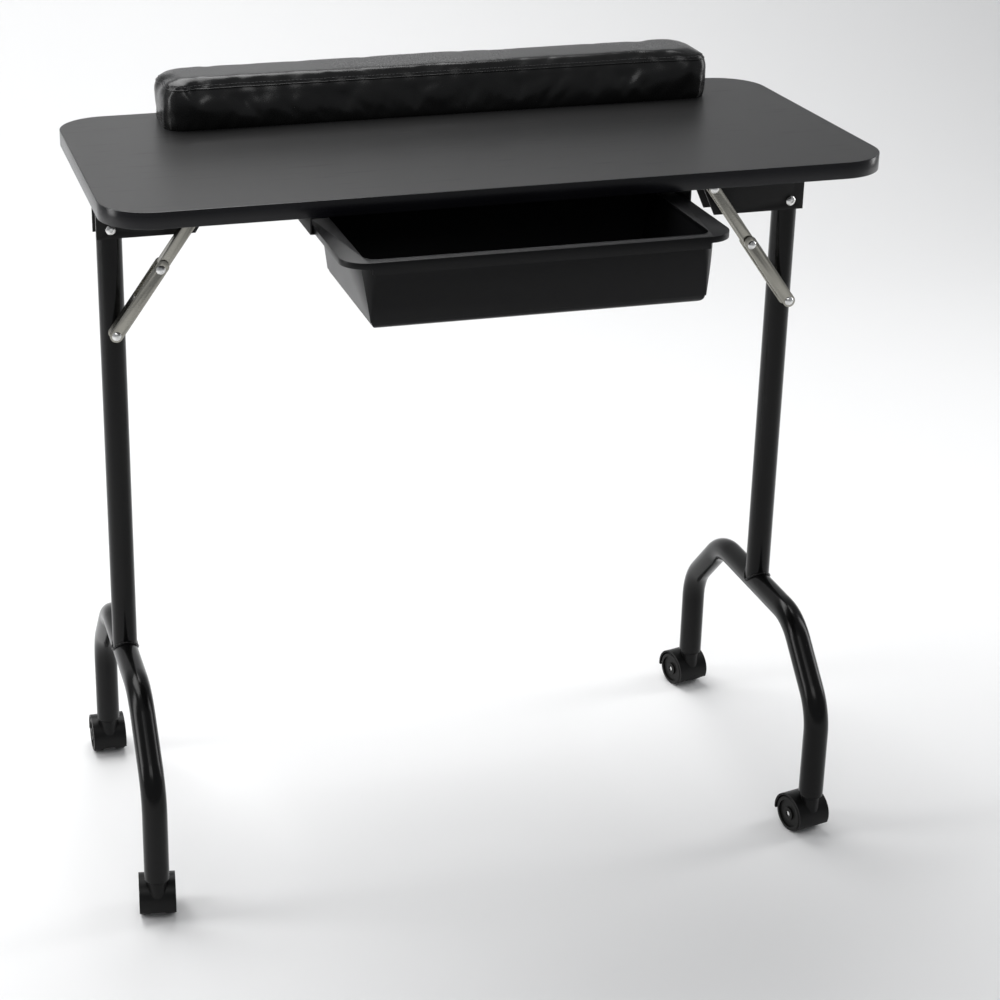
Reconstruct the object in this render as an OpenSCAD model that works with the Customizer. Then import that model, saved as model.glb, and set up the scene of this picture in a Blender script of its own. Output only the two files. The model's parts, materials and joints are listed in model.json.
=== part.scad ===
// Folding manicure table: laminated board, hand-rest cushion, pull-out tray,
// two T-shaped legs of round tube with braces, four twin-wheel casters.
// Frame: +X right, +Y back, +Z up, floor at z = 0, lengths in millimetres.
// The origin is on the floor under the middle of the whole table's extents.

/* [Board] */
// Length of the table board along X
board_l = 760; // [600:5:1000]
// Depth of the table board along Y
board_w = 362; // [300:2:500]
// Thickness of the table board
board_t = 16; // [12:1:25]
// Radius of the board's four corners in plan
board_r = 50; // [10:1:120]
// Height of the board's top face above the floor
top_z = 742; // [650:1:800]
// Thickness of the plastic edge band round the board
band_t = 1.2; // [0.5:0.1:3]

/* [Cushion] */
// Length of the hand-rest cushion
cushion_l = 576; // [300:2:700]
// Depth of the hand-rest cushion
cushion_w = 88; // [60:1:140]
// Height of the cushion above the board
cushion_h = 48; // [25:1:80]
// Offset of the cushion's middle along X
cushion_x = 10; // [-60:1:60]
// Radius of the cushion's upright corners
cushion_r = 20; // [5:1:40]
// Radius of the cushion's top edges
cushion_edge = 11; // [3:1:20]
// Thickness of the plywood base hidden under the foam
base_t = 6; // [3:1:12]

/* [Legs] */
// Distance from the table's middle to each leg's axis
leg_x = 352; // [280:1:360]
// Outer diameter of the leg tube (1 inch)
tube_d = 25.4; // [19:0.1:38]
// Wall of the leg tube
tube_wall = 1.5; // [0.8:0.1:3]
// Height of the left leg's folding pivot
pivot_left = 678.6; // [640:0.2:700]
// Height of the right leg's folding pivot, lower so the legs stack
pivot_right = 656.6; // [620:0.2:690]
// Tube standing above the folding pivot
post_over = 14; // [10:1:20]
// Height of the foot arch's cross bar axis
bar_z = 218.6; // [150:0.2:300]
// Distance from the table's middle line to each foot's end tube
foot_y = 168.7; // [120:0.1:200]
// Run of the 45 degree shoulder, equal along Y and Z
shoulder = 74.7; // [30:0.1:100]
// Radius of the tube's bends at the centre line
bend_r = 60; // [40:1:90]
// Height of the tube's lower ends
tube_end = 47.25; // [40:0.25:60]

/* [Channels] */
// Half width of the folded steel channel round each leg top
channel_half = 14.6; // [14:0.1:18]
// Thickness of the channel's steel
sheet = 1.5; // [1:0.1:3]
// Depth of the channel below the folding pivot
channel_below = 9.3; // [8:0.1:20]
// Distance from the leg's axis to the channel's outer end
channel_out = 14; // [10:1:25]
// Distance from the leg's axis to the channel's lower inboard corner
channel_in = 83; // [70:1:110]
// Distance from the leg's axis to the channel's upper inboard corner
channel_top = 118; // [90:1:150]

/* [Braces] */
// Drop from the folding pivot to the brace's pin on the leg
brace_drop = 104.25; // [80:0.25:130]
// Middle rivet of the brace, inboard of the leg's axis
rivet_in = 45.5; // [30:0.5:70]
// Middle rivet of the brace, below the folding pivot
rivet_drop = 40; // [20:0.5:60]
// Length of the upper link between its pins
upper_len = 76; // [50:0.5:100]
// Half depth of the lower link
lower_half = 6.5; // [5:0.1:9]
// Half depth of the upper link
upper_half = 5.5; // [4:0.1:8]
// Outer width of the lower link across its flanges
lower_width = 14; // [12:0.1:18]
// Thickness of the links' steel
link_t = 1.5; // [1:0.1:2]
// Length of the lower link's web from its lower pin
web_len = 43; // [30:1:60]

/* [Tray] */
// Middle of the tray along X
tray_x = -9; // [-60:1:60]
// Half width of the tray across its side flanges
tray_half = 180; // [140:1:200]
// Front face of the tray, from the board's middle line
tray_front = -296; // [-320:1:-180]
// Length of the tray's tub from front to back
tray_len = 167.5; // [120:0.5:200]
// Height of the tray's top face
tray_top = 717; // [712:0.5:722]
// Height of the tray's bottom face
tray_bottom = 653.5; // [640:0.5:700]
// Half width of the tub at its top
tub_top = 163.5; // [130:1:180]
// Half width of the tub at its bottom
tub_low = 153.5; // [120:1:175]
// Wall of the moulded tray
tray_wall = 2.5; // [1.5:0.1:4]
// Radius of the flange's front corners
tray_r = 25; // [5:1:40]

/* [Rails] */
// Half distance across the two rails' outer faces
rail_half = 183; // [150:1:200]
// Length of each rail
rail_len = 238; // [150:1:300]
// Height of each rail
rail_h = 16.5; // [12:0.5:25]
// Reach of the rail's flanges towards the tray
rail_reach = 15.5; // [8:0.5:20]

/* [Casters] */
// Radius of the caster wheels
wheel_r = 19.5; // [15:0.5:30]
// Width of one caster wheel
wheel_w = 12; // [8:0.5:16]
// Half of the gap between the two wheels of a caster
wheel_gap = 6.3; // [5:0.1:9]
// Distance from the swivel axis back to the axle
trail = 12; // [6:0.5:20]
// Swivel of the left front caster
yaw_lf = -8; // [-180:1:180]
// Swivel of the left back caster
yaw_lb = 0; // [-180:1:180]
// Swivel of the right front caster
yaw_rf = 13; // [-180:1:180]
// Swivel of the right back caster
yaw_rb = 14; // [-180:1:180]

/* [Hidden] */
$fn = 96;

// Where the board's middle lies along Y in the shared frame
board_y = 44.9;
// Widest half size used for through cuts
far = 400;
// Radial clearance of a pin that turns in its hole, and of one that is fixed
running = 0.07;
fixed = 0.03;
// Gap between the foot's straight lengths and its bends
hairline = 0.01;
// Running gap between flat faces that slide past each other
slip = 0.3;

board_z = top_z - board_t;
tube_r = tube_d / 2;
bore_r = tube_r - tube_wall;
bend_run = bend_r * tan(22.5);

bolt_r = 4;
bolt_head_r = 5;
pin_r = 3;
pin_head_r = 4.6;
pin_head_h = 2;
screw_r = 1.75;
screw_head_r = 4;
screw_head_h = 2.4;
screw_len = 12;
cushion_screw_len = 20;

brace_angle = atan2(brace_drop - rivet_drop, rivet_in);
lower_len = sqrt(pow(rivet_in, 2) + pow(brace_drop - rivet_drop, 2));
stud_in = rivet_in + upper_len * cos(brace_angle);
stud_up = upper_len * sin(brace_angle) - rivet_drop;
link_back = channel_half + 0.5;
link_front = link_back + lower_width;
upper_back = link_back + link_t + 0.2;
upper_front = link_front - link_t - 0.2;
link_tip = 3.5;

lip_t = 2.5;
tray_back = tray_front + tray_len;
rim_front = tray_front + 10;
skirt_z = board_z - rail_h + sheet + slip;

stem_r = 5.5;
stem_top = 82;
stem_low = 35;
axle_r = 3;
hood_top = 44;
hood_half = 18.5;
hood_r = 22.5;
pocket_r = 20.4;
web_half = 5;
insert_top = 85;

channel_screws_at = [25, 62, 100];
rail_screws_at = [-150, -60, 30];
cushion_screws_at = [-200, 10, 220];

function pivot_z(s) = s < 0 ? pivot_left : pivot_right;
function arc(cx, cy, r, a0, a1, n) =
    [for (i = [0:n]) [cx + r * cos(a0 + (a1 - a0) * i / n), cy + r * sin(a0 + (a1 - a0) * i / n)]];

// ---------- helpers ----------

// Extrude an outline drawn in X and Z between two Y values
module prism_y(y0, y1) {
    translate([0, y1, 0])
        rotate([90, 0, 0])
            linear_extrude(y1 - y0)
                children();
}

// Extrude an outline drawn in Y and Z between two X values
module prism_x(x0, x1) {
    translate([x0, 0, 0])
        rotate([90, 0, 90])
            linear_extrude(x1 - x0)
                children();
}

module cyl_y(r, y0, y1) {
    translate([0, y1, 0])
        rotate([90, 0, 0])
            cylinder(r = r, h = y1 - y0);
}

module cyl_x(r, x0, x1) {
    translate([x0, 0, 0])
        rotate([0, 90, 0])
            cylinder(r = r, h = x1 - x0);
}

module round_plan(l, w, r) {
    square([l - 2 * r, w], center = true);
    square([l, w - 2 * r], center = true);
    for (sx = [-1, 1], sy = [-1, 1])
        translate([sx * (l / 2 - r), sy * (w / 2 - r)])
            circle(r = r);
}

// Spherical cap standing on z = 0
module dome(r, h) {
    ball = (r * r + h * h) / (2 * h);
    intersection() {
        translate([0, 0, h - ball])
            sphere(r = ball);
        cylinder(r = r, h = h);
    }
}

// Cap on the front face of a pin, its base at y
module dome_front(r, h, y) {
    translate([0, y, 0])
        rotate([90, 0, 0])
            dome(r, h);
}

// Screw driven upwards, its head under z
module screw_up(x, y, z, len) {
    translate([x, y, z]) {
        cylinder(r = screw_r, h = len);
        rotate([180, 0, 0])
            difference() {
                dome(screw_head_r, screw_head_h);
                translate([0, 0, screw_head_h - 0.9])
                    cylinder(r = 1.3, h = 2, $fn = 4);
            }
    }
}

// Frame of one leg: x runs inboard from the leg's axis, y from the board's middle
module at_leg(s) {
    translate([s * leg_x, board_y, 0])
        mirror([s > 0 ? 1 : 0, 0, 0])
            children();
}

// Frame of one caster: swivel axis at the origin, wheels trailing along +Y
module at_caster(sx, sy, yaw) {
    translate([sx * leg_x, board_y + sy * foot_y, 0])
        rotate([0, 0, yaw])
            children();
}

// Frame of one brace: x runs from the lower pin along the straight brace
module at_brace(s) {
    at_leg(s)
        translate([0, 0, pivot_z(s) - brace_drop])
            rotate([0, -brace_angle, 0])
                children();
}

// ---------- board ----------

module top_board() {
    color([0.17, 0.17, 0.18])
    translate([0, board_y, 0])
    difference() {
        translate([0, 0, board_z])
            linear_extrude(board_t)
                round_plan(board_l - 2 * band_t, board_w - 2 * band_t, board_r - band_t);
        for (s = [-1, 1], u = channel_screws_at)
            translate([s * (leg_x - u), 0, board_z - 1])
                cylinder(r = screw_r + fixed, h = screw_len);
        for (s = [-1, 1], y = rail_screws_at)
            translate([tray_x + s * (rail_half - 9), y, board_z - 1])
                cylinder(r = screw_r + fixed, h = screw_len);
        for (x = cushion_screws_at)
            translate([x, cushion_mid(), board_z - 1])
                cylinder(r = screw_r + 0.4, h = board_t + 2);
    }
}

function cushion_mid() = (board_w - cushion_w) / 2;

module edge_band() {
    color([0.06, 0.06, 0.07])
    translate([0, board_y, board_z])
        linear_extrude(board_t)
            difference() {
                round_plan(board_l, board_w, board_r);
                round_plan(board_l - 2 * band_t, board_w - 2 * band_t, board_r - band_t);
            }
}

// ---------- cushion ----------

module round_top(w, h, r) {
    translate([-w / 2, 0])
        square([w, h - r]);
    translate([-w / 2 + r, h - r])
        square([w - 2 * r, r]);
    for (s = [-1, 1])
        translate([s * (w / 2 - r), h - r])
            circle(r = r);
}

module cushion() {
    color([0.05, 0.05, 0.055])
    translate([cushion_x, board_y + cushion_mid(), top_z])
    difference() {
        intersection() {
            translate([0, 0, slip])
                linear_extrude(cushion_h)
                    round_plan(cushion_l, cushion_w, cushion_r);
            prism_y(-cushion_w, cushion_w)
                round_top(cushion_l, cushion_h, cushion_edge);
            prism_x(-cushion_l, cushion_l)
                round_top(cushion_w, cushion_h, cushion_edge);
        }
        translate([0, 0, -1])
            linear_extrude(base_t + 1 + slip)
                round_plan(cushion_l - 16 + 2 * slip, cushion_w - 12 + 2 * slip, 12);
    }
}

module cushion_base() {
    color([0.62, 0.45, 0.28])
    translate([cushion_x, board_y + cushion_mid(), top_z])
    difference() {
        linear_extrude(base_t)
            round_plan(cushion_l - 16, cushion_w - 12, 12);
        for (x = cushion_screws_at)
            translate([x - cushion_x, 0, -1])
                cylinder(r = screw_r + fixed, h = base_t);
    }
}

module cushion_screws() {
    color([0.7, 0.7, 0.72])
    translate([0, board_y, 0])
        for (x = cushion_screws_at)
            screw_up(x, cushion_mid(), board_z, cushion_screw_len);
}

// ---------- channels and folding pivots ----------

module channel(s) {
    z0 = pivot_z(s) - channel_below;
    color([0.04, 0.04, 0.045])
    at_leg(s)
    difference() {
        prism_y(-channel_half, channel_half)
            polygon([
                [-channel_out, z0],
                [channel_in, z0],
                [channel_top, board_z],
                [-channel_out, board_z]
            ]);
        translate([-far / 2, sheet - channel_half, z0 - 1])
            cube([far, 2 * (channel_half - sheet), board_z - sheet - z0 + 1]);
        translate([0, 0, pivot_z(s)])
            cyl_y(bolt_r + fixed, -far / 2, far / 2);
        translate([stud_in, 0, pivot_z(s) + stud_up])
            cyl_y(pin_r + fixed, -far / 2, 0);
        for (u = channel_screws_at)
            translate([u, 0, board_z - 2 * sheet])
                cylinder(r = screw_r + fixed, h = 3 * sheet);
    }
}

module channel_left() {
    channel(-1);
}

module channel_right() {
    channel(1);
}

module channel_screws() {
    color([0.7, 0.7, 0.72])
    for (s = [-1, 1], u = channel_screws_at)
        at_leg(s)
            screw_up(u, 0, board_z - sheet, screw_len - 1);
}

module pivot_bolt(s) {
    color([0.75, 0.75, 0.77])
    at_leg(s)
    translate([0, 0, pivot_z(s)])
    difference() {
        union() {
            cyl_y(bolt_r, -channel_half, channel_half + 7);
            cyl_y(bolt_head_r, -channel_half - 1.2, -channel_half);
            dome_front(bolt_head_r, 2.2, -channel_half - 1.2);
        }
        translate([0, -channel_half - 2.4, 0])
            rotate([90, 0, 0])
                cylinder(r = 2, h = 4, $fn = 6);
    }
}

module pivot_bolt_left() {
    pivot_bolt(-1);
}

module pivot_bolt_right() {
    pivot_bolt(1);
}

module pivot_nuts() {
    color([0.7, 0.7, 0.72])
    for (s = [-1, 1])
        at_leg(s)
            translate([0, channel_half + 5.5, pivot_z(s)])
                rotate([90, 0, 0])
                    difference() {
                        cylinder(r = 7, h = 5.5, $fn = 6);
                        translate([0, 0, -1])
                            cylinder(r = bolt_r + fixed, h = 8);
                    }
}

module brace_stud(s) {
    color([0.78, 0.78, 0.76])
    at_leg(s)
    translate([stud_in, 0, pivot_z(s) + stud_up]) {
        cyl_y(pin_r, -upper_front - 0.2, sheet - channel_half);
        cyl_y(5, 0.2 - upper_back, -channel_half);
        cyl_y(4.2, sheet - channel_half, 2 * sheet - channel_half);
        dome_front(pin_head_r, pin_head_h, -upper_front - 0.2);
    }
}

module brace_stud_left() {
    brace_stud(-1);
}

module brace_stud_right() {
    brace_stud(1);
}

// ---------- legs ----------

module post(s) {
    color([0.03, 0.03, 0.033])
    at_leg(s)
    difference() {
        translate([0, 0, bar_z])
            cylinder(r = tube_r, h = pivot_z(s) + post_over - bar_z);
        translate([0, 0, bar_z - 1])
            cylinder(r = bore_r, h = far * 2);
        translate([0, 0, bar_z])
            cyl_y(tube_r + fixed, -far / 2, far / 2);
        translate([0, 0, pivot_z(s)])
            cyl_y(bolt_r + running, -far / 2, far / 2);
        translate([0, 0, pivot_z(s) - brace_drop])
            cyl_y(pin_r + fixed, -far / 2, far / 2);
    }
}

module post_left() {
    post(-1);
}

module post_right() {
    post(1);
}

// Straight length of the foot's tube, a hairline short of the bends at both ends
module tube(len) {
    translate([0, 0, hairline])
        difference() {
            cylinder(r = tube_r, h = len - 2 * hairline);
            translate([0, 0, -1])
                cylinder(r = bore_r, h = len + 2);
        }
}

// Half of a quarter turn towards +Y, about an axis along X at the origin
module bend() {
    rotate([90, 0, 90])
        rotate([0, 0, 135])
            rotate_extrude(angle = 45)
                translate([bend_r, 0])
                    difference() {
                        circle(r = tube_r);
                        circle(r = bore_r);
                    }
}

// End tube, bend, slanted shoulder, bend and a length bar of the cross bar, in turn
module half_foot(bar) {
    end_len = bar_z - shoulder - bend_run - tube_end;
    translate([0, bend_r - foot_y, tube_end + end_len]) {
        translate([0, -bend_r, -end_len])
            tube(end_len);
        bend();
        rotate([-45, 0, 0]) {
            translate([0, -bend_r, 0])
                tube(shoulder * sqrt(2) - 2 * bend_run);
            translate([0, 0, shoulder * sqrt(2) - 2 * bend_run]) {
                bend();
                if (bar > 0)
                    rotate([-45, 0, 0])
                        translate([0, -bend_r, 0])
                            tube(bar);
            }
        }
    }
}

module foot(s) {
    color([0.03, 0.03, 0.033])
    at_leg(s) {
        half_foot(2 * (foot_y - shoulder - bend_run));
        mirror([0, 1, 0])
            half_foot(0);
    }
}

module foot_left() {
    foot(-1);
}

module foot_right() {
    foot(1);
}

module tube_inserts(s) {
    color([0.05, 0.05, 0.05])
    at_leg(s)
    for (sy = [-1, 1])
        translate([0, sy * foot_y, 0])
            difference() {
                union() {
                    translate([0, 0, tube_end])
                        cylinder(r = bore_r - fixed, h = insert_top - tube_end);
                    translate([0, 0, tube_end - 0.9])
                        cylinder(r = tube_r - 0.2, h = 0.9);
                }
                cylinder(r = stem_r + running, h = far);
            }
}

module tube_inserts_left() {
    tube_inserts(-1);
}

module tube_inserts_right() {
    tube_inserts(1);
}

module brace_pin(s) {
    color([0.78, 0.78, 0.76])
    at_brace(s) {
        cyl_y(pin_r, -link_front - 0.1, tube_r);
        cyl_y(5, 0.1 - link_back, -tube_r);
        dome_front(pin_head_r, pin_head_h, -link_front - 0.1);
        cyl_y(pin_head_r, tube_r, tube_r + 1);
    }
}

module brace_pin_left() {
    brace_pin(-1);
}

module brace_pin_right() {
    brace_pin(1);
}

// ---------- braces ----------

// Flat bar between two x values with round ends of radius h
module link_plan(x0, x1, h) {
    translate([x0, -h])
        square([x1 - x0, 2 * h]);
    translate([x0, 0])
        circle(r = h);
    translate([x1, 0])
        circle(r = h);
}

module lower_link(s) {
    color([0.66, 0.66, 0.62])
    at_brace(s)
    difference() {
        union() {
            prism_y(-link_front, link_t - link_front)
                link_plan(0, lower_len + link_tip, lower_half);
            prism_y(-link_back - link_t, -link_back)
                link_plan(0, lower_len + link_tip, lower_half);
            translate([0, -link_front, lower_half - link_t])
                cube([web_len, lower_width, link_t]);
        }
        cyl_y(pin_r + running, -far / 2, 0);
        translate([lower_len, 0, 0])
            cyl_y(pin_r + fixed, -far / 2, 0);
    }
}

module lower_link_left() {
    lower_link(-1);
}

module lower_link_right() {
    lower_link(1);
}

module link_rivet(s) {
    color([0.85, 0.85, 0.84])
    at_brace(s)
    translate([lower_len, 0, 0]) {
        cyl_y(pin_r, -link_front, link_t - link_front);
        dome_front(pin_head_r, pin_head_h, -link_front);
        cyl_y(pin_r, -link_back - link_t, -link_back);
    }
}

module link_rivet_left() {
    link_rivet(-1);
}

module link_rivet_right() {
    link_rivet(1);
}

module upper_link(s) {
    color([0.66, 0.66, 0.62])
    at_brace(s)
    translate([lower_len, 0, 0])
    difference() {
        union() {
            prism_y(-upper_front, link_t - upper_front)
                link_plan(0, upper_len, upper_half);
            prism_y(-upper_back - link_t, -upper_back)
                link_plan(0, upper_len, upper_half);
            translate([4, -upper_front, upper_half - link_t])
                cube([upper_len - 4, upper_front - upper_back, link_t]);
        }
        cyl_y(pin_r + running, -far / 2, 0);
        translate([upper_len, 0, 0])
            cyl_y(pin_r + running, -far / 2, 0);
    }
}

module upper_link_left() {
    upper_link(-1);
}

module upper_link_right() {
    upper_link(1);
}

// ---------- tray and rails ----------

// Tub section across X, its wall moved in by t
module tub_across(t) {
    r = 7 - t;
    low = tub_low - t;
    top = tub_top - t;
    z0 = tray_bottom + t;
    polygon(concat(
        [[-top, tray_top], [-low - 2, z0 + r]],
        arc(r - low - 1, z0 + r, r, 180, 270, 6),
        arc(low + 1 - r, z0 + r, r, 270, 360, 6),
        [[low + 2, z0 + r], [top, tray_top]]
    ));
}

// Tub section along Y, its wall moved in by t
module tub_along(t) {
    r = 7 - t;
    front = tray_front + 3 + t;
    back = tray_back - t;
    z0 = tray_bottom + t;
    polygon(concat(
        [[front, tray_top], [front + 3, z0 + r]],
        arc(front + 3.5 + r, z0 + r, r, 180, 270, 6),
        arc(back - r, z0 + r, r, 270, 360, 6),
        [[back, tray_top]]
    ));
}

// Plan with round front corners: half width h, front and back y, corner r
module tray_plan(h, front, back, r) {
    translate([-h, front + r])
        square([2 * h, back - front - r]);
    translate([r - h, front])
        square([2 * (h - r), r + 1]);
    for (s = [-1, 1])
        translate([s * (h - r), front + r])
            circle(r = r);
}

module tub(t) {
    intersection() {
        prism_y(tray_front - 1, tray_back + 1)
            tub_across(t);
        prism_x(-tray_half, tray_half)
            tub_along(t);
        translate([0, 0, tray_bottom - 1])
            linear_extrude(tray_top - tray_bottom + 2)
                tray_plan(tub_top - t, tray_front + 3 + t, tray_back - t, 18 - t);
    }
}

module tray() {
    color([0.045, 0.045, 0.048])
    translate([tray_x, board_y, 0])
    difference() {
        union() {
            tub(0);
            translate([0, 0, tray_top - lip_t])
                linear_extrude(lip_t)
                    tray_plan(tray_half, tray_front, tray_back, tray_r);
            translate([0, 0, skirt_z])
                linear_extrude(tray_top - skirt_z)
                    difference() {
                        tray_plan(tray_half, tray_front, tray_back, tray_r);
                        tray_plan(tray_half - 2, tray_front + 2, tray_back + 1, tray_r - 2);
                    }
            translate([tray_r - tray_half, tray_front, tray_top - 11])
                cube([2 * (tray_half - tray_r), 2, 10]);
        }
        intersection() {
            tub(tray_wall);
            translate([-far, -far, 0])
                cube([2 * far, 2 * far, tray_top - lip_t]);
        }
        translate([0, 0, tray_top - lip_t - 1])
            linear_extrude(lip_t + 2)
                tray_plan(tub_top - 4, rim_front, tray_back - 4, 12);
    }
}

module rail(s) {
    color([0.05, 0.05, 0.055])
    translate([tray_x, board_y, 0])
    mirror([s > 0 ? 1 : 0, 0, 0])
    difference() {
        prism_y(-board_w / 2 + 3, rail_len - board_w / 2 + 3)
            polygon([
                [-rail_half, board_z],
                [-rail_half, board_z - rail_h],
                [rail_reach + sheet - rail_half, board_z - rail_h],
                [rail_reach + sheet - rail_half, board_z - rail_h + sheet],
                [sheet - rail_half, board_z - rail_h + sheet],
                [sheet - rail_half, board_z - sheet],
                [rail_reach + sheet - rail_half, board_z - sheet],
                [rail_reach + sheet - rail_half, board_z]
            ]);
        for (y = rail_screws_at)
            translate([9 - rail_half, y, board_z - 2 * sheet])
                cylinder(r = screw_r + fixed, h = 3 * sheet);
    }
}

module rail_left() {
    rail(-1);
}

module rail_right() {
    rail(1);
}

module rail_screws() {
    color([0.7, 0.7, 0.72])
    translate([tray_x, board_y, 0])
        for (s = [-1, 1], y = rail_screws_at)
            screw_up(s * (rail_half - 9), y, board_z - sheet, screw_len - 1);
}

// ---------- casters ----------

module caster_stem() {
    color([0.8, 0.8, 0.82]) {
        translate([0, 0, stem_low])
            cylinder(r = stem_r, h = stem_top - stem_low);
        translate([0, 0, hood_top])
            cylinder(r = 8, h = 2);
    }
}

module caster_hood() {
    color([0.04, 0.04, 0.042])
    difference() {
        union() {
            translate([0, trail, wheel_r]) {
                prism_x(-hood_half, hood_half)
                    difference() {
                        circle(r = hood_r);
                        circle(r = pocket_r - 0.4);
                        rotate(8)
                            translate([-far / 2, -far - 6])
                                square([far, far]);
                    }
                prism_x(-web_half, web_half)
                    difference() {
                        circle(r = pocket_r);
                        translate([-far / 2, -far - 9])
                            square([far, far]);
                    }
            }
            translate([0, 0, wheel_r + 8])
                cylinder(r = 9.5, h = hood_top - wheel_r - 8);
        }
        translate([0, trail, wheel_r]) {
            cyl_x(pocket_r, wheel_gap - 0.9, far / 2);
            cyl_x(pocket_r, -far / 2, 0.9 - wheel_gap);
            cyl_x(axle_r + running, -far / 2, far / 2);
        }
        translate([0, 0, stem_low])
            cylinder(r = stem_r + fixed, h = far);
    }
}

module wheel_section() {
    edge = 2.5;
    difference() {
        union() {
            translate([axle_r + fixed, 0])
                square([wheel_r - edge - axle_r - fixed, wheel_w]);
            translate([wheel_r - edge, edge])
                square([edge, wheel_w - 2 * edge]);
            for (y = [edge, wheel_w - edge])
                translate([wheel_r - edge, y])
                    circle(r = edge);
        }
        translate([7, wheel_w - 2])
            square([8, 3]);
    }
}

module caster_wheels() {
    color([0.06, 0.06, 0.06])
    translate([0, trail, wheel_r])
        for (s = [0, 1])
            mirror([s, 0, 0])
                translate([wheel_gap, 0, 0])
                    rotate([0, 90, 0])
                        rotate_extrude()
                            wheel_section();
}

module caster_axle() {
    color([0.7, 0.7, 0.72])
    translate([0, trail, wheel_r])
        cyl_x(axle_r, -wheel_gap - wheel_w + 1, wheel_gap + wheel_w - 1);
}

module caster_stem_lf() {
    at_caster(-1, -1, yaw_lf)
        caster_stem();
}

module caster_stem_lb() {
    at_caster(-1, 1, yaw_lb)
        caster_stem();
}

module caster_stem_rf() {
    at_caster(1, -1, yaw_rf)
        caster_stem();
}

module caster_stem_rb() {
    at_caster(1, 1, yaw_rb)
        caster_stem();
}

module caster_hood_lf() {
    at_caster(-1, -1, yaw_lf)
        caster_hood();
}

module caster_hood_lb() {
    at_caster(-1, 1, yaw_lb)
        caster_hood();
}

module caster_hood_rf() {
    at_caster(1, -1, yaw_rf)
        caster_hood();
}

module caster_hood_rb() {
    at_caster(1, 1, yaw_rb)
        caster_hood();
}

module caster_wheels_lf() {
    at_caster(-1, -1, yaw_lf)
        caster_wheels();
}

module caster_wheels_lb() {
    at_caster(-1, 1, yaw_lb)
        caster_wheels();
}

module caster_wheels_rf() {
    at_caster(1, -1, yaw_rf)
        caster_wheels();
}

module caster_wheels_rb() {
    at_caster(1, 1, yaw_rb)
        caster_wheels();
}

module caster_axle_lf() {
    at_caster(-1, -1, yaw_lf)
        caster_axle();
}

module caster_axle_lb() {
    at_caster(-1, 1, yaw_lb)
        caster_axle();
}

module caster_axle_rf() {
    at_caster(1, -1, yaw_rf)
        caster_axle();
}

module caster_axle_rb() {
    at_caster(1, 1, yaw_rb)
        caster_axle();
}

// ---------- drawing ----------

top_board();
edge_band();
cushion();
cushion_base();
cushion_screws();
channel_left();
channel_right();
channel_screws();
rail_left();
rail_right();
rail_screws();
pivot_bolt_left();
pivot_bolt_right();
pivot_nuts();
brace_stud_left();
brace_stud_right();
tray();
post_left();
foot_left();
tube_inserts_left();
brace_pin_left();
post_right();
foot_right();
tube_inserts_right();
brace_pin_right();
lower_link_left();
link_rivet_left();
upper_link_left();
lower_link_right();
link_rivet_right();
upper_link_right();
caster_stem_lf();
caster_hood_lf();
caster_wheels_lf();
caster_axle_lf();
caster_stem_lb();
caster_hood_lb();
caster_wheels_lb();
caster_axle_lb();
caster_stem_rf();
caster_hood_rf();
caster_wheels_rf();
caster_axle_rf();
caster_stem_rb();
caster_hood_rb();
caster_wheels_rb();
caster_axle_rb();
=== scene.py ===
# %% [markdown]
# # Folding manicure table
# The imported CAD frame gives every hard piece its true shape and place. This notebook dresses it:
# procedural finishes for each slot, a cushion made by cloth simulation with its seam and stitches,
# weld beads where the legs meet their feet, then the floor, the lights and the camera.

# %% Load the frame
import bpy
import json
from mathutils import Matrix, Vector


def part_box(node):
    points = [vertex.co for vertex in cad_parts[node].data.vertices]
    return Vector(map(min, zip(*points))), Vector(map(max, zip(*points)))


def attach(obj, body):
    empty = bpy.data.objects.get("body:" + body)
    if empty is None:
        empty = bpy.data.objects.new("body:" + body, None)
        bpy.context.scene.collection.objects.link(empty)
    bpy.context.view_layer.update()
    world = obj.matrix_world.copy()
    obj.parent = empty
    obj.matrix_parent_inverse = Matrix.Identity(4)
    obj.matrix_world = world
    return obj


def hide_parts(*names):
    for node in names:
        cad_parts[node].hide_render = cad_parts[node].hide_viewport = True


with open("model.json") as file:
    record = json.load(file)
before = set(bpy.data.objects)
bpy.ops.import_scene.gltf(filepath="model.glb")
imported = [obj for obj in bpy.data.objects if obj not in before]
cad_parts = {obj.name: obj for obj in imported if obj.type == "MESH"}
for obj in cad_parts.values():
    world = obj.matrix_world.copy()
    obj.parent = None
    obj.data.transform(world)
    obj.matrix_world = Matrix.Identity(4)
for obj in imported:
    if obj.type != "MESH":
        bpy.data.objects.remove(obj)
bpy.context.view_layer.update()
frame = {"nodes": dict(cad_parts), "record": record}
import json
import math
import bmesh
import bpy
from mathutils import Matrix, Vector
from mathutils.bvhtree import BVHTree

RECORD = frame["record"]
NODES = frame["nodes"]
SLOTS = {s["node"]: s["material_slot"] for s in RECORD["subparts"]}

# %% [markdown]
# ## Shader expressions
# A socket wrapper with arithmetic operators keeps each finish readable as a formula. Every finish
# uses object coordinates, so its grain keeps its real size on each piece and moves with it. An
# image texture would have been the other way; a formula has no resolution limit and no seams.

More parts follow.
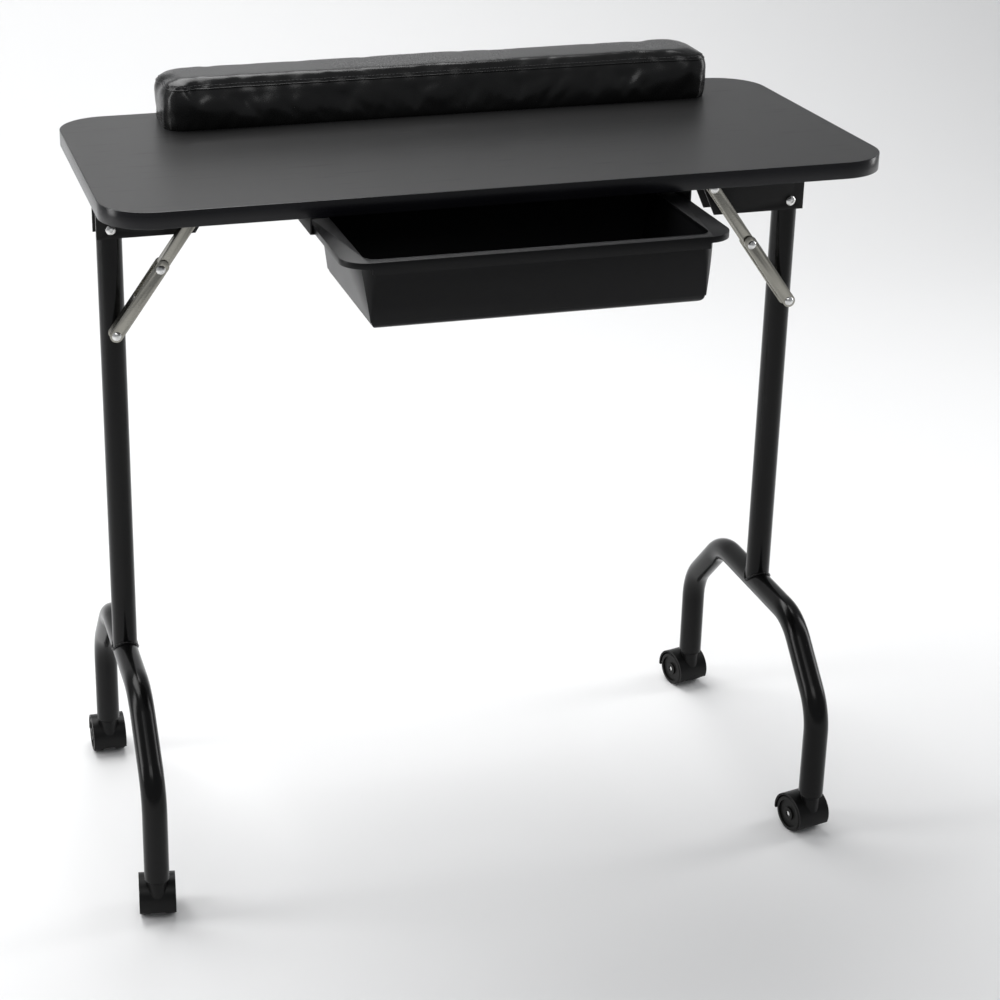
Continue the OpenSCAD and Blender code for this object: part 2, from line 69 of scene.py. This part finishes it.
# %% Socket wrapper
class Sock:
    def __init__(self, tree, out):
        self.tree = tree
        self.out = out

    def op(self, kind, other, swap=False):
        n = self.tree.nodes.new("ShaderNodeMath")
        n.operation = kind
        terms = (other, self) if swap else (self, other)
        for i, t in enumerate(terms):
            if isinstance(t, Sock):
                self.tree.links.new(t.out, n.inputs[i])
            else:
                n.inputs[i].default_value = t
        return Sock(self.tree, n.outputs[0])

    def __add__(self, o):
        return self.op("ADD", o)

    def __radd__(self, o):
        return self.op("ADD", o, True)

    def __rmul__(self, o):
        return self.op("MULTIPLY", o, True)

    def step(self, lo, hi):
        """0 below lo, 1 above hi, smooth between."""
        n = self.tree.nodes.new("ShaderNodeMapRange")
        n.interpolation_type = "SMOOTHSTEP"
        self.tree.links.new(self.out, n.inputs["Value"])
        n.inputs["From Min"].default_value = lo
        n.inputs["From Max"].default_value = hi
        return Sock(self.tree, n.outputs["Result"])


class Finish:
    """A Principled material under construction."""

    def __init__(self, name):
        self.mat = bpy.data.materials.new(name)
        self.mat.use_nodes = True
        self.tree = self.mat.node_tree
        self.bsdf = next(n for n in self.tree.nodes if n.type == "BSDF_PRINCIPLED")
        self.place = self.tree.nodes.new("ShaderNodeTexCoord").outputs["Object"]

    def spread(self, x=1.0, y=1.0, z=1.0):
        """Object coordinates stretched along each axis."""
        m = self.tree.nodes.new("ShaderNodeMapping")
        m.inputs["Scale"].default_value = (x, y, z)
        self.tree.links.new(self.place, m.inputs["Vector"])
        return m.outputs["Vector"]

    def noise(self, scale, detail=3.0, where=None):
        n = self.tree.nodes.new("ShaderNodeTexNoise")
        n.inputs["Scale"].default_value = scale
        n.inputs["Detail"].default_value = detail
        self.tree.links.new(where or self.place, n.inputs["Vector"])
        return Sock(self.tree, n.outputs[0])

    def cells(self, scale):
        n = self.tree.nodes.new("ShaderNodeTexVoronoi")
        n.feature = "F1"
        n.inputs["Scale"].default_value = scale
        self.tree.links.new(self.place, n.inputs["Vector"])
        return Sock(self.tree, n.outputs["Distance"])

    def color(self, low, high, amount):
        n = self.tree.nodes.new("ShaderNodeMix")
        n.data_type = "RGBA"
        a = [i for i in n.inputs if i.type == "RGBA"]
        a[0].default_value = (*low, 1.0)
        a[1].default_value = (*high, 1.0)
        self.tree.links.new(amount.out, n.inputs["Factor"])
        out = next(o for o in n.outputs if o.type == "RGBA")
        self.tree.links.new(out, self.bsdf.inputs["Base Color"])

    def rough(self, value):
        self.tree.links.new(value.out, self.bsdf.inputs["Roughness"])

    def bump(self, height, strength, distance):
        n = self.tree.nodes.new("ShaderNodeBump")
        n.inputs["Strength"].default_value = strength
        n.inputs["Distance"].default_value = distance
        self.tree.links.new(height.out, n.inputs["Height"])
        self.tree.links.new(n.outputs["Normal"], self.bsdf.inputs["Normal"])

    def fixed(self, **values):
        for k, v in values.items():
            self.bsdf.inputs[k.replace("_", " ")].default_value = v
        return self.mat


# %% [markdown]
# ## Finishes
# One finish per material slot of the record. Each has a slow variation (handling, dust, uneven
# gloss) and a fine one (orange peel, moulded grain, leather grain, drawn metal).

# %% Laminate and edge band
def laminate():
    f = Finish("laminate")
    cloud = f.noise(5.0, 4.0)
    peel = f.noise(900.0, 2.0)
    scuff = f.noise(60.0, 5.0, f.spread(0.25, 2.5, 1.0)).step(0.6, 0.75)
    f.color((0.009, 0.009, 0.009), (0.015, 0.015, 0.015), cloud)
    f.rough(0.34 + 0.05 * cloud + 0.04 * scuff)
    f.bump(peel, 0.05, 0.0002)
    return f.fixed(Specular_IOR_Level=0.27)


def band():
    f = Finish("edge band")
    cloud = f.noise(14.0, 3.0)
    f.color((0.003, 0.003, 0.004), (0.006, 0.006, 0.008), cloud)
    f.rough(0.20 + 0.10 * cloud)
    f.bump(f.noise(700.0, 2.0), 0.06, 0.0002)
    return f.fixed(Specular_IOR_Level=0.35)


# %% Vinyl of the cushion and its thread
def vinyl():
    f = Finish("vinyl")
    cloud = f.noise(9.0, 3.0)
    crease = f.noise(26.0, 4.0, f.spread(1.0, 1.0, 0.45))
    grain = f.cells(1100.0)
    pore = f.noise(420.0, 3.0)
    f.color((0.003, 0.003, 0.003), (0.006, 0.006, 0.006), cloud)
    f.rough(0.20 + 0.10 * cloud + 0.05 * pore)
    f.bump(0.55 * crease + 0.10 * grain + 0.06 * pore, 0.13, 0.0020)
    return f.fixed(Specular_IOR_Level=0.33)


def thread():
    f = Finish("thread")
    twist = f.noise(2500.0, 2.0)
    f.color((0.015, 0.015, 0.016), (0.035, 0.035, 0.036), twist)
    f.rough(0.55 + 0.15 * twist)
    f.bump(twist, 0.3, 0.0001)
    return f.mat


# %% Paints and plastics
def tube_paint():
    f = Finish("tube paint")
    cloud = f.noise(11.0, 3.0)
    peel = f.noise(520.0, 2.0)
    nick = f.cells(45.0).step(0.0, 0.012)
    f.color((0.020, 0.019, 0.018), (0.003, 0.003, 0.003), nick)
    f.rough(0.16 + 0.08 * cloud)
    f.bump(peel, 0.07, 0.0003)
    return f.fixed(Specular_IOR_Level=0.20)


def channel_steel():
    f = Finish("channel steel")
    cloud = f.noise(16.0, 4.0)
    rub = f.noise(70.0, 5.0, f.spread(0.2, 1.0, 1.5)).step(0.62, 0.74)
    f.color((0.003, 0.003, 0.003), (0.008, 0.008, 0.008), rub)
    f.rough(0.42 + 0.16 * cloud)
    f.bump(f.noise(640.0, 3.0), 0.12, 0.0003)
    return f.fixed(Specular_IOR_Level=0.25)


def moulded(name, low, high, rough, grain):
    f = Finish(name)
    cloud = f.noise(12.0, 4.0)
    f.color(low, high, cloud)
    f.rough(rough + 0.12 * cloud)
    f.bump(f.noise(grain, 2.0) + 0.5 * f.noise(grain * 0.3, 2.0), 0.10, 0.0003)
    return f.fixed(Specular_IOR_Level=0.17)


# %% Metals and plywood
def plated(name, low, high, rough, draw):
    f = Finish(name)
    cloud = f.noise(22.0, 4.0)
    drawn = f.noise(300.0, 3.0, f.spread(*draw))
    spot = f.cells(160.0).step(0.0, 0.06)
    f.color(low, high, 0.6 * cloud + 0.4 * spot)
    f.rough(rough + 0.14 * cloud + 0.06 * drawn)
    f.bump(drawn, 0.08, 0.0002)
    return f.fixed(Metallic=1.0)


def plywood():
    f = Finish("plywood")
    ring = f.noise(30.0, 5.0, f.spread(0.15, 2.0, 4.0))
    f.color((0.42, 0.28, 0.15), (0.60, 0.44, 0.27), ring)
    f.rough(0.62 + 0.2 * ring)
    f.bump(ring, 0.15, 0.0004)
    return f.mat


MATS = {
    "laminate": laminate(),
    "band": band(),
    "vinyl": vinyl(),
    "plywood": plywood(),
    "channel_steel": channel_steel(),
    "tube_paint": tube_paint(),
    "tray_plastic": moulded("tray plastic", (0.003, 0.003, 0.0033), (0.005, 0.005, 0.0055), 0.28, 800.0),
    "hood_plastic": moulded("hood plastic", (0.003, 0.003, 0.003), (0.006, 0.006, 0.006), 0.32, 700.0),
    "wheel_plastic": moulded("wheel plastic", (0.006, 0.006, 0.006), (0.011, 0.011, 0.010), 0.40, 600.0),
    "link_zinc": plated("zinc plate", (0.20, 0.19, 0.16), (0.40, 0.39, 0.35), 0.16, (0.3, 1.0, 3.0)),
    "chrome": plated("chrome", (0.70, 0.70, 0.72), (0.84, 0.84, 0.86), 0.06, (1.0, 1.0, 0.3)),
    "hardware": plated("bright zinc", (0.66, 0.66, 0.65), (0.82, 0.82, 0.81), 0.16, (1.0, 1.0, 1.0)),
}
THREAD = thread()
print(len(MATS), "finishes")

# %% Put a finish on every CAD node
for name, node in NODES.items():
    node.data.materials.clear()
    node.data.materials.append(MATS[SLOTS[name]])

# %% [markdown]
# ## Softened edges
# Sheet metal, the edge band and the mouldings have small broken edges that catch the light. A copy
# of each such node is cleaned of its triangles and gets a narrow bevel; it stands for the CAD node.
# The board keeps its CAD mesh, because its wide flat top must shade without creases.

# %% Bevelled copies
def body_of(node):
    for body, members in RECORD["behaviour"]["bodies"].items():
        if node in members:
            return body


def soften(name, width, segments=2, limit=28.0):
    me = NODES[name].data.copy()
    me.name = name + " softened"
    bm = bmesh.new()
    bm.from_mesh(me)
    bmesh.ops.remove_doubles(bm, verts=bm.verts, dist=1e-5)
    bmesh.ops.dissolve_limit(bm, angle_limit=math.radians(1.0), verts=bm.verts, edges=bm.edges)
    bm.to_mesh(me)
    bm.free()
    for attr in [a.name for a in me.attributes if a.name in ("custom_normal", "sharp_edge", "sharp_face")]:
        me.attributes.remove(me.attributes[attr])
    ob = bpy.data.objects.new(name + "_soft", me)
    bpy.context.scene.collection.objects.link(ob)
    mod = ob.modifiers.new("edge", "BEVEL")
    mod.width = width
    mod.segments = segments
    mod.limit_method = "ANGLE"
    mod.angle_limit = math.radians(limit)
    mod.use_clamp_overlap = True
    dg = bpy.context.evaluated_depsgraph_get()
    done = bpy.data.meshes.new_from_object(ob.evaluated_get(dg))
    ob.modifiers.clear()
    ob.data = done
    done.shade_smooth()
    done.set_sharp_from_angle(angle=math.radians(32.0))
    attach(ob, body_of(name))
    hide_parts(name)
    return ob


SOFTENED = {
    "edge_band": 0.0005,
    "tray": 0.0007,
    "channel_left": 0.0004,
    "channel_right": 0.0004,
    "rail_left": 0.0003,
    "rail_right": 0.0003,
    "lower_link_left": 0.0004,
    "lower_link_right": 0.0004,
    "upper_link_left": 0.0004,
    "upper_link_right": 0.0004,
}
for name, width in SOFTENED.items():
    ob = soften(name, width)
    print(ob.name, len(ob.data.polygons), "faces")

# %% [markdown]
# ## Cushion
# A foam bar under stretched vinyl. A rounded block is remeshed evenly and inflated by the cloth
# solver with its underside held, so the top crowns and the long faces belly out between the
# corners. Sculpting by hand would also do, but the solver gives the slack its natural spread.

# %% Inflate the cushion
LO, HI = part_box("cushion")
LO.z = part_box("top_board")[1].z - 0.0015
HI.x += 0.007
SIDE_INSET = 0.0015
FACE_INSET = 0.0020
CROWN_ROOM = 0.0025
VOXEL = 0.0046
PUFF_LIMIT = 0.0050
LAST_FRAME = 20


def rounded_block(lo, hi, corner, top):
    me = bpy.data.meshes.new("cushion")
    bm = bmesh.new()
    bmesh.ops.create_cube(bm, size=1.0)
    for v in bm.verts:
        v.co = Vector(((lo[i] + hi[i]) / 2 + v.co[i] * (hi[i] - lo[i]) for i in range(3)))
    upright = [e for e in bm.edges if abs(e.verts[0].co.z - e.verts[1].co.z) > 0.01]
    bmesh.ops.bevel(bm, geom=upright, offset=corner, segments=8, profile=0.5, affect="EDGES")
    rim = [e for e in bm.edges if all(v.co.z > hi.z - 1e-5 for v in e.verts)]
    rim = [e for e in rim if any(abs(f.normal.z) < 0.5 for f in e.link_faces)]
    bmesh.ops.bevel(bm, geom=rim, offset=top, segments=5, profile=0.5, affect="EDGES")
    bm.to_mesh(me)
    bm.free()
    ob = bpy.data.objects.new("cushion_cover", me)
    bpy.context.scene.collection.objects.link(ob)
    return ob


def baked(ob):
    dg = bpy.context.evaluated_depsgraph_get()
    me = bpy.data.meshes.new_from_object(ob.evaluated_get(dg))
    ob.modifiers.clear()
    ob.data = me
    return ob


inset = Vector((SIDE_INSET, FACE_INSET, 0.0))
crown = Vector((0.0, 0.0, CROWN_ROOM))
cover = rounded_block(LO + inset, HI - inset - crown, 0.020, 0.008)
mod = cover.modifiers.new("even", "REMESH")
mod.mode = "VOXEL"
mod.voxel_size = VOXEL
baked(cover)
still = [v.co.copy() for v in cover.data.vertices]
held = cover.vertex_groups.new(name="held")
for v in cover.data.vertices:
    held.add([v.index], 1.0 if v.co.z < LO.z + 0.004 else 0.0, "REPLACE")
cloth = cover.modifiers.new("cloth", "CLOTH")
cloth.settings.vertex_group_mass = "held"
cloth.settings.quality = 5
cloth.settings.mass = 0.3
cloth.settings.tension_stiffness = 12.0
cloth.settings.compression_stiffness = 8.0
cloth.settings.bending_stiffness = 0.4
cloth.settings.use_pressure = True
cloth.settings.uniform_pressure_force = 4.0
cloth.settings.effector_weights.gravity = 0.0
cloth.settings.shrink_min = -0.012
cloth.collision_settings.use_self_collision = False
cloth.point_cache.frame_start = 1
cloth.point_cache.frame_end = LAST_FRAME
for frame_number in range(1, LAST_FRAME + 1):
    bpy.context.scene.frame_set(frame_number)
    bpy.context.view_layer.update()
dg = bpy.context.evaluated_depsgraph_get()
blown = bpy.data.meshes.new_from_object(cover.evaluated_get(dg))
cover.modifiers.clear()
bpy.context.scene.frame_set(1)
most = 0.0
for v, b, s in zip(cover.data.vertices, blown.vertices, still):
    move = b.co - s
    most = max(most, move.length)
    v.co = s + move * min(1.0, PUFF_LIMIT / max(move.length, 1e-9))
print("cloth moved up to", round(most * 1000, 1), "mm,", len(still), "points")
cover.vertex_groups.clear()

# %% [markdown]
# The seam between the top panel and the side panels pulls the cover in along one line. The mesh is
# drawn in there and rides up on both sides, with short puckers that fade away from the thread;
# they are stronger at the left end, where the cover is gathered.

# %% Seam line pulled in, with puckers
SEAM_Z = HI.z - 0.0075
SEAM_REACH = 0.016
DRAW_DEPTH = 0.0016
DRAW_WIDTH = 0.0042
PUCKER_DEPTH = 0.00035
PUCKER_WIDTH = 0.010


def pucker(x, y):
    along = x * 260.0 + y * 210.0
    gather = 1.0 + 1.6 * math.exp(-((x - LO.x) / 0.05) ** 2)
    return gather * (math.sin(along) + 0.6 * math.sin(along * 0.43 + 1.3))


for v in cover.data.vertices:
    away = (v.co.z - SEAM_Z) / DRAW_WIDTH
    near = min(abs(v.co.x - LO.x), abs(v.co.x - HI.x), abs(v.co.y - LO.y), abs(v.co.y - HI.y))
    if near > SEAM_REACH or v.co.z < LO.z + 0.006:
        continue
    n = v.normal.copy()
    n.z *= 0.3
    v.co -= n * DRAW_DEPTH * math.exp(-away * away)
    spread = math.exp(-(((v.co.z - SEAM_Z) / PUCKER_WIDTH) ** 2))
    v.co += v.normal * PUCKER_DEPTH * spread * pucker(v.co.x, v.co.y)
mod = cover.modifiers.new("fine", "SUBSURF")
mod.levels = 1
mod.render_levels = 1
baked(cover)
cover.data.shade_smooth()
cover.data.materials.clear()
cover.data.materials.append(MATS["vinyl"])
print(len(cover.data.polygons), "faces on the cushion")

# %% [markdown]
# ## Seam, welt and stitches
# A thin welt follows the seam all round, and a row of stitches runs just above it. Both follow the
# inflated surface: rays from outside find it. The stitches are one Geometry Nodes tree that
# repeats a short thread along the path, so their pitch is one number.

# %% Paths on the cover
tree = BVHTree.FromPolygons(
    [v.co.copy() for v in cover.data.vertices],
    [tuple(p.vertices) for p in cover.data.polygons],
)


def plan_loop(step):
    """Points and outward directions round the cushion's plan."""
    r = 0.022
    x0, x1, y0, y1 = LO.x, HI.x, LO.y, HI.y
    centres = [(x1 - r, y0 + r, -90), (x1 - r, y1 - r, 0), (x0 + r, y1 - r, 90), (x0 + r, y0 + r, 180)]
    out = []
    for i, (cx, cy, a) in enumerate(centres):
        for k in range(9):
            t = math.radians(a + k * 90 / 8)
            d = Vector((math.cos(t), math.sin(t), 0.0))
            out.append((Vector((cx, cy, 0.0)) + d * r, d))
        nx, ny, na = centres[(i + 1) % 4]
        t = math.radians(na)
        d = Vector((math.cos(t), math.sin(t), 0.0))
        a0 = out[-1][0]
        b0 = Vector((nx, ny, 0.0)) + d * r
        count = max(1, int((b0 - a0).length / step))
        out += [(a0.lerp(b0, k / count), d) for k in range(1, count)]
    return out


def on_cover(height, lift):
    pts = []
    for p, d in plan_loop(0.004):
        hit, normal, _, _ = tree.ray_cast(Vector((p.x, p.y, height)) + d * 0.03, -d)
        if hit is not None:
            pts.append(hit + normal * lift)
    return pts


def loop_tube(name, pts, radius, mat):
    cu = bpy.data.curves.new(name, "CURVE")
    cu.dimensions = "3D"
    cu.bevel_depth = radius
    cu.bevel_resolution = 2
    sp = cu.splines.new("POLY")
    sp.points.add(len(pts) - 1)
    for q, p in zip(sp.points, pts):
        q.co = (*p, 1.0)
    sp.use_cyclic_u = True
    tmp = bpy.data.objects.new(name, cu)
    bpy.context.scene.collection.objects.link(tmp)
    dg = bpy.context.evaluated_depsgraph_get()
    me = bpy.data.meshes.new_from_object(tmp.evaluated_get(dg))
    bpy.data.objects.remove(tmp)
    ob = bpy.data.objects.new(name, me)
    bpy.context.scene.collection.objects.link(ob)
    me.materials.clear()
    me.materials.append(mat)
    me.shade_smooth()
    return ob


welt = loop_tube("cushion_welt", on_cover(SEAM_Z, -0.0001), 0.0009, MATS["vinyl"])
print(len(welt.data.vertices), "points on the welt")

# %% Geometry Nodes stitches
def stitch_tree():
    g = bpy.data.node_groups.new("stitches", "GeometryNodeTree")
    g.interface.new_socket("Geometry", in_out="INPUT", socket_type="NodeSocketGeometry")
    for label, value in (("Pitch", 0.0042), ("Length", 0.0030), ("Radius", 0.00035)):
        s = g.interface.new_socket(label, in_out="INPUT", socket_type="NodeSocketFloat")
        s.default_value = value
    g.interface.new_socket("Geometry", in_out="OUTPUT", socket_type="NodeSocketGeometry")
    new = g.nodes.new
    link = g.links.new
    inp = new("NodeGroupInput")
    out = new("NodeGroupOutput")
    curve = new("GeometryNodeMeshToCurve")
    again = new("GeometryNodeResampleCurve")
    if hasattr(again, "mode"):
        again.mode = "LENGTH"
    else:
        again.inputs["Mode"].default_value = "Length"
    tangent = new("GeometryNodeInputTangent")
    turn = new("FunctionNodeAlignRotationToVector")
    turn.axis = "Z"
    place = new("GeometryNodeInstanceOnPoints")
    shape = new("GeometryNodeMeshCylinder")
    shape.inputs["Vertices"].default_value = 8
    real = new("GeometryNodeRealizeInstances")
    paint = new("GeometryNodeSetMaterial")
    paint.inputs["Material"].default_value = THREAD
    link(inp.outputs["Geometry"], curve.inputs["Mesh"])
    link(curve.outputs["Curve"], again.inputs["Curve"])
    link(inp.outputs["Pitch"], again.inputs["Length"])
    link(again.outputs["Curve"], place.inputs["Points"])
    link(tangent.outputs["Tangent"], turn.inputs["Vector"])
    link(turn.outputs["Rotation"], place.inputs["Rotation"])
    link(inp.outputs["Length"], shape.inputs["Depth"])
    link(inp.outputs["Radius"], shape.inputs["Radius"])
    link(shape.outputs["Mesh"], place.inputs["Instance"])
    link(place.outputs["Instances"], real.inputs["Geometry"])
    link(real.outputs["Geometry"], paint.inputs["Geometry"])
    link(paint.outputs["Geometry"], out.inputs["Geometry"])
    return g


pts = on_cover(SEAM_Z + 0.0030, 0.00010)
me = bpy.data.meshes.new("stitch path")
me.from_pydata(pts, [(i, (i + 1) % len(pts)) for i in range(len(pts))], [])
stitches = bpy.data.objects.new("cushion_stitches", me)
bpy.context.scene.collection.objects.link(stitches)
mod = stitches.modifiers.new("repeat", "NODES")
mod.node_group = stitch_tree()
baked(stitches)
print(len(stitches.data.polygons), "faces of stitches")

for ob in (cover, welt, stitches):
    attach(ob, "table_top")
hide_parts("cushion")

# %% [markdown]
# ## Weld beads
# Each post is coped onto its foot's cross bar and welded. The bead follows the saddle curve of two
# equal tubes and swells a little at each ripple, painted with the tubes.

# %% Beads
BEAD_RADIUS = 0.0017
BEAD_STEPS = 96
RIPPLES = 24

for side in ("left", "right"):
    lo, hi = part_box("post_" + side)
    centre = Vector(((lo.x + hi.x) / 2, (lo.y + hi.y) / 2, 0.0))
    r = (hi.x - lo.x) / 2
    foot_lo, foot_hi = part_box("foot_" + side)
    bar = foot_hi.z - r
    pts = []
    for i in range(BEAD_STEPS):
        a = 2 * math.pi * i / BEAD_STEPS
        swell = 1.0 + 0.02 * math.sin(a * RIPPLES)
        pts.append(centre + Vector((
            r * math.cos(a) * swell,
            r * math.sin(a) * swell,
            bar + r * abs(math.sin(a)) + 0.0008,
        )))
    bead = loop_tube("weld_" + side, pts, BEAD_RADIUS, MATS["tube_paint"])
    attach(bead, "leg_" + side)
    print(bead.name, len(bead.data.polygons), "faces")

# %% [markdown]
# ## Floor, light and camera
# A plain pale floor that curves up behind, a large soft light over the table, and two tall side
# lights that draw the long soft bands down the glossy tubes.

# %% Floor
def plain(name, color, rough):
    m = bpy.data.materials.new(name)
    m.use_nodes = True
    b = next(n for n in m.node_tree.nodes if n.type == "BSDF_PRINCIPLED")
    b.inputs["Base Color"].default_value = (*color, 1.0)
    b.inputs["Roughness"].default_value = rough
    return m


def sweep(width, front, back, height, radius, steps=16):
    prof = [(front, 0.0), (back - radius, 0.0)]
    for i in range(1, steps + 1):
        a = math.pi / 2 * i / steps
        prof.append((back - radius + radius * math.sin(a), radius - radius * math.cos(a)))
    prof.append((back, height))
    verts = [(x, y, z) for y, z in prof for x in (-width, width)]
    faces = [(2 * i, 2 * i + 1, 2 * i + 3, 2 * i + 2) for i in range(len(prof) - 1)]
    me = bpy.data.meshes.new("floor")
    me.from_pydata(verts, [], faces)
    me.shade_smooth()
    ob = bpy.data.objects.new("floor", me)
    bpy.context.scene.collection.objects.link(ob)
    me.materials.append(plain("floor", (0.80, 0.80, 0.80), 0.7))
    return ob


floor = sweep(7.0, -6.0, 3.2, 5.0, 1.6)

# %% Lights
def area(name, place, aim, size, power):
    li = bpy.data.lights.new(name, "AREA")
    li.shape = "RECTANGLE"
    li.size, li.size_y = size
    li.energy = power
    ob = bpy.data.objects.new(name, li)
    bpy.context.scene.collection.objects.link(ob)
    ob.location = place
    ob.rotation_euler = (Vector(aim) - Vector(place)).to_track_quat("-Z", "Y").to_euler()
    return ob


area("top", (-0.5, 1.2, 3.0), (0, 0.1, 0.5), (2.6, 2.2), 95)
area("left", (-2.4, 0.2, 1.3), (0, 0, 0.5), (0.7, 2.2), 26)
area("right", (2.4, 0.2, 1.3), (0, 0, 0.5), (0.6, 2.2), 18)
area("front", (-0.6, -2.6, 3.2), (0, -0.4, 0.2), (2.0, 1.2), 22)
world = bpy.data.worlds.new("studio")
bpy.context.scene.world = world
world.use_nodes = True
world.node_tree.nodes["Background"].inputs["Color"].default_value = (0.95, 0.97, 1.0, 1.0)
world.node_tree.nodes["Background"].inputs["Strength"].default_value = 0.30
bpy.context.scene.view_settings.view_transform = "Standard"

# %% Camera
board_lo, board_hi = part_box("top_board")
MIDDLE = (board_lo + board_hi) / 2
az, el, roll = math.radians(-11.95), math.radians(21.29), math.radians(-0.724)
right = Vector((math.cos(az), math.sin(az), 0.0))
ahead = Vector((-math.sin(az) * math.cos(el), math.cos(az) * math.cos(el), -math.sin(el)))
up = right.cross(ahead)
across = right * math.cos(roll) + up * math.sin(roll)
upward = up * math.cos(roll) - right * math.sin(roll)
cam = bpy.data.cameras.new("camera")
cam.sensor_width = 36.0
cam.lens = 81.06
cam.shift_x = 0.2259
cam.shift_y = -0.0961
cam.clip_end = 50.0
eye = bpy.data.objects.new("camera", cam)
bpy.context.scene.collection.objects.link(eye)
turn = Matrix((across, upward, -ahead)).transposed()
eye.matrix_world = Matrix.Translation(Vector((-0.631356, -2.08536 + MIDDLE.y, 1.308358))) @ turn.to_4x4()
bpy.context.scene.camera = eye
